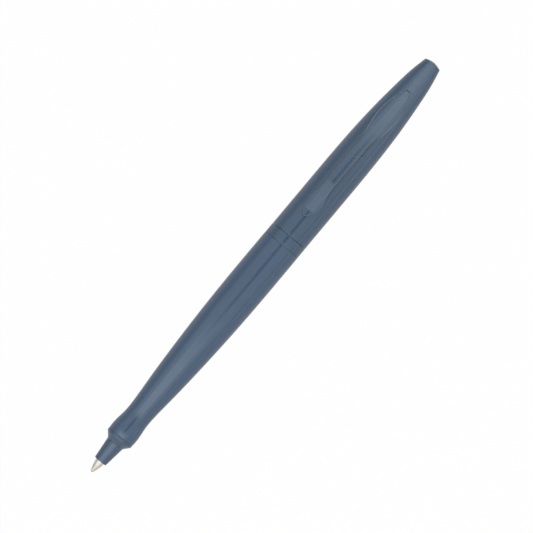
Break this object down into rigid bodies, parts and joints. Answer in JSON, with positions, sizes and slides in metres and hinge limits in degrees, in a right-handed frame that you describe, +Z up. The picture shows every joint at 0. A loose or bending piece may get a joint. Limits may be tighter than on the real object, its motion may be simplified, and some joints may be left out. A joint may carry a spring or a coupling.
{
  "type": "ballpoint pen",
  "caption": "Twist-action ballpoint pen with a waisted grip, a plain centre band and an inset leaf-shaped clip; turning the upper half draws the metal point into the nose cone.",
  "frame": {"origin": "the middle of the pen's length, on the surface it lies on, straight under its axis", "axes": "+X runs along the pen from the writing point to the top end, +Z is up through the clip, and +Y is level across the pen"},
  "size_m": [0.14, 0.011, 0.0125],
  "materials": {
    "nose_cone": "slate-blue moulded plastic with a polished, slightly soft gloss",
    "lower_barrel": "slate-blue moulded plastic with a polished, slightly soft gloss",
    "centre_band": "slate-blue moulded plastic with a polished, slightly soft gloss",
    "upper_barrel": "slate-blue moulded plastic with a polished, slightly soft gloss",
    "clip": "slate-blue moulded plastic with a polished, slightly soft gloss",
    "clip_lock": "black moulded plastic, hidden",
    "guide_tube": "dark grey acetal",
    "cam_sleeve": "black acetal",
    "retaining_ring": "bright spring steel",
    "plunger": "red acetal",
    "return_spring": "bright spring wire",
    "refill_tube": "milky polypropylene",
    "ink_column": "blue-black ink paste",
    "ink_follower": "clear yellowish grease",
    "tail_plug": "milky polypropylene",
    "tip_holder": "milky polypropylene",
    "writing_tip": "turned nickel silver, pale and warm",
    "writing_ball": "polished tungsten carbide"
  },
  "bodies": {
    "barrel": {"lower_barrel": "lower_barrel", "nose_cone": "nose_cone", "centre_band": "centre_band", "guide_tube": "guide_tube", "retaining_ring": "retaining_ring", "return_spring": "return_spring"},
    "cap": {"upper_barrel": "upper_barrel", "clip": "clip", "clip_lock": "clip_lock", "cam_sleeve": "cam_sleeve"},
    "refill": {"plunger": "plunger", "refill_tube": "refill_tube", "ink_column": "ink_column", "ink_follower": "ink_follower", "tail_plug": "tail_plug", "tip_holder": "tip_holder", "writing_tip": "writing_tip"},
    "ball": {"writing_ball": "writing_ball"}
  },
  "joints": [
    {"name": "cap_twist", "type": "hinge", "parent": "barrel", "child": "cap", "pos_m": [0.01068, 0, 0.00551], "axis": [1, 0, 0], "range_deg": [0, 160]},
    {"name": "refill_slide", "type": "slide", "parent": "barrel", "child": "refill", "axis": [1, 0, 0], "range_m": [0, 0.005], "deforming": ["return_spring"]},
    {"name": "ball_roll", "type": "hinge", "parent": "refill", "child": "ball", "pos_m": [-0.06963, 0, 0.00551], "axis": [0, 1, 0], "continuous": true}
  ],
  "couplings": [
    {"joint": "cap_twist", "follows": "refill_slide", "rad_per_m": 558.51}
  ]
}
